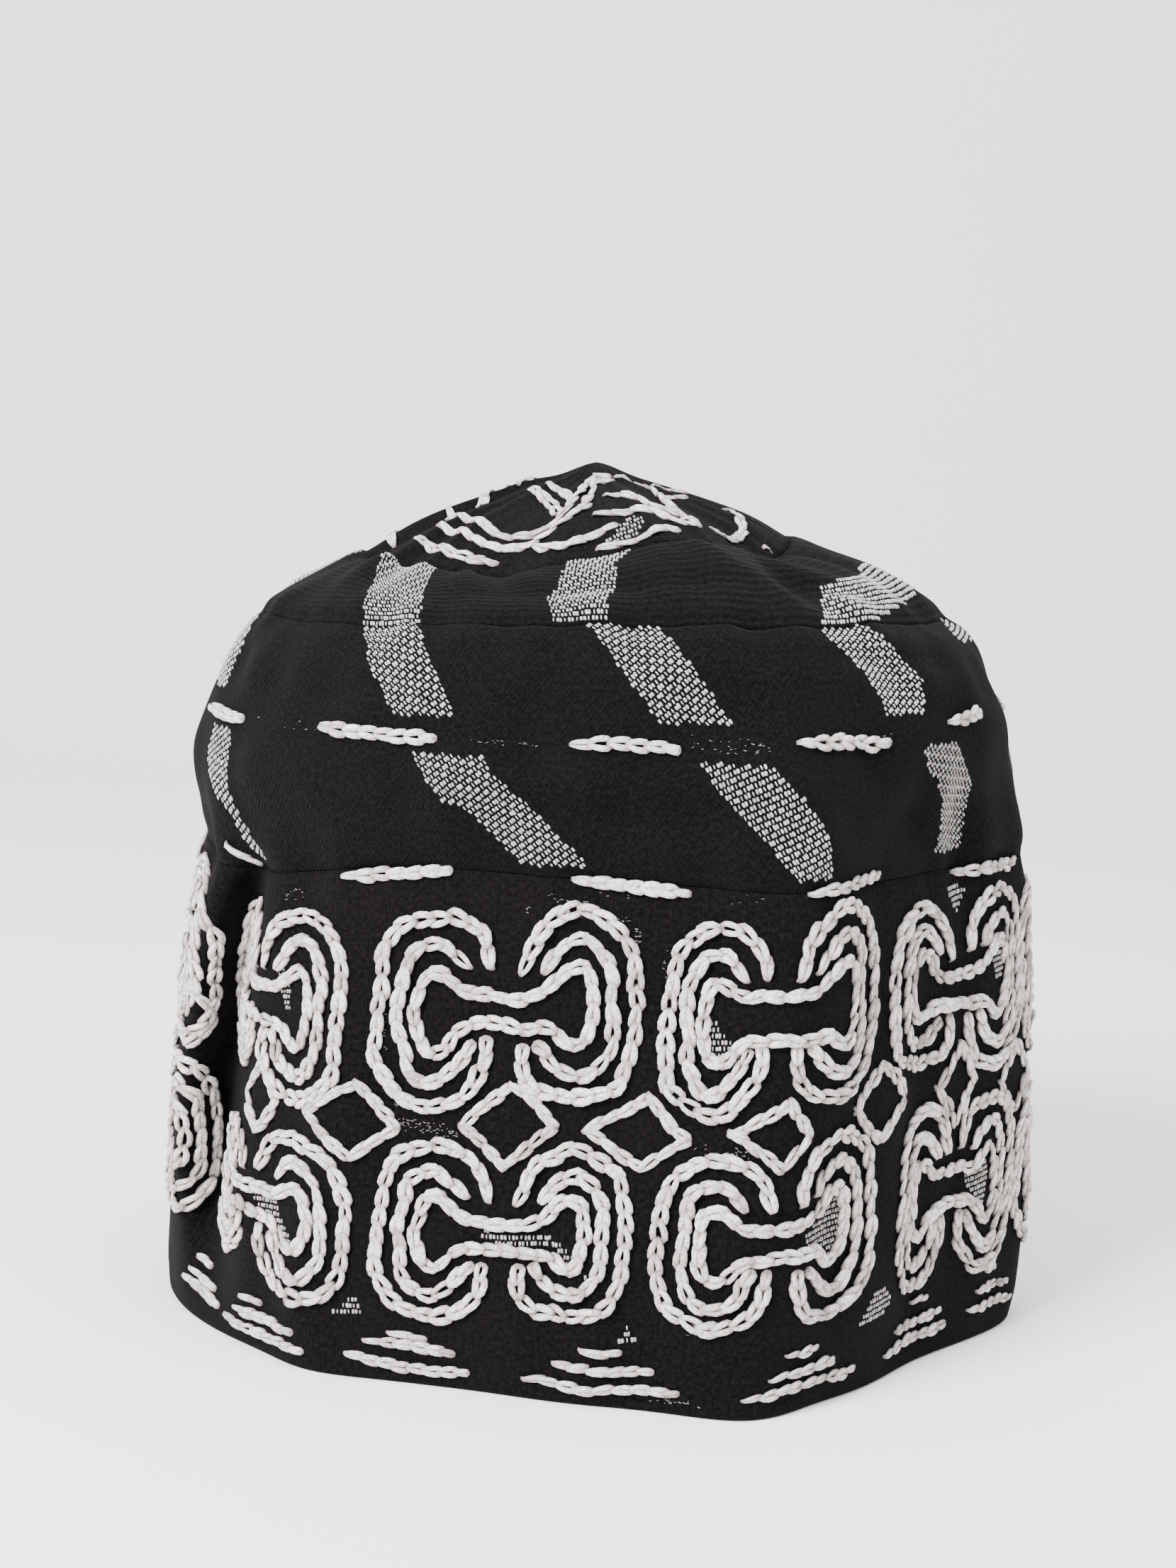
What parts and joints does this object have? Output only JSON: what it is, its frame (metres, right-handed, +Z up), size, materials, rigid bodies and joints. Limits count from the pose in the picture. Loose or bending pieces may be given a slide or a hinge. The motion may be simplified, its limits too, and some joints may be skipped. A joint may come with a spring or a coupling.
{
  "type": "embroidered cap",
  "caption": "Tall soft black cloth cap with off-white chain-stitch scroll embroidery, woven check stripes and a softly peaked crown, standing on its rim.",
  "frame": {"origin": "on the surface the cap stands on, under the middle of its outline", "axes": "+Z up from the rim to the peak, +X to the right and -Y to the front as the picture shows the cap"},
  "size_m": [0.1913, 0.166, 0.1872],
  "materials": {
    "band_cloth": "matt black cotton cloth, dyed",
    "side_cloth": "matt charcoal black twill",
    "shoulder_cloth": "matt charcoal black twill",
    "top_cloth": "matt black cotton cloth, dyed",
    "white_yarn": "soft off-white embroidery yarn"
  },
  "bodies": {
    "root": {"embroidered_band": "band_cloth", "side_tier": "side_cloth", "crown_shoulder": "shoulder_cloth", "crown_top": "top_cloth"}
  },
  "joints": []
}
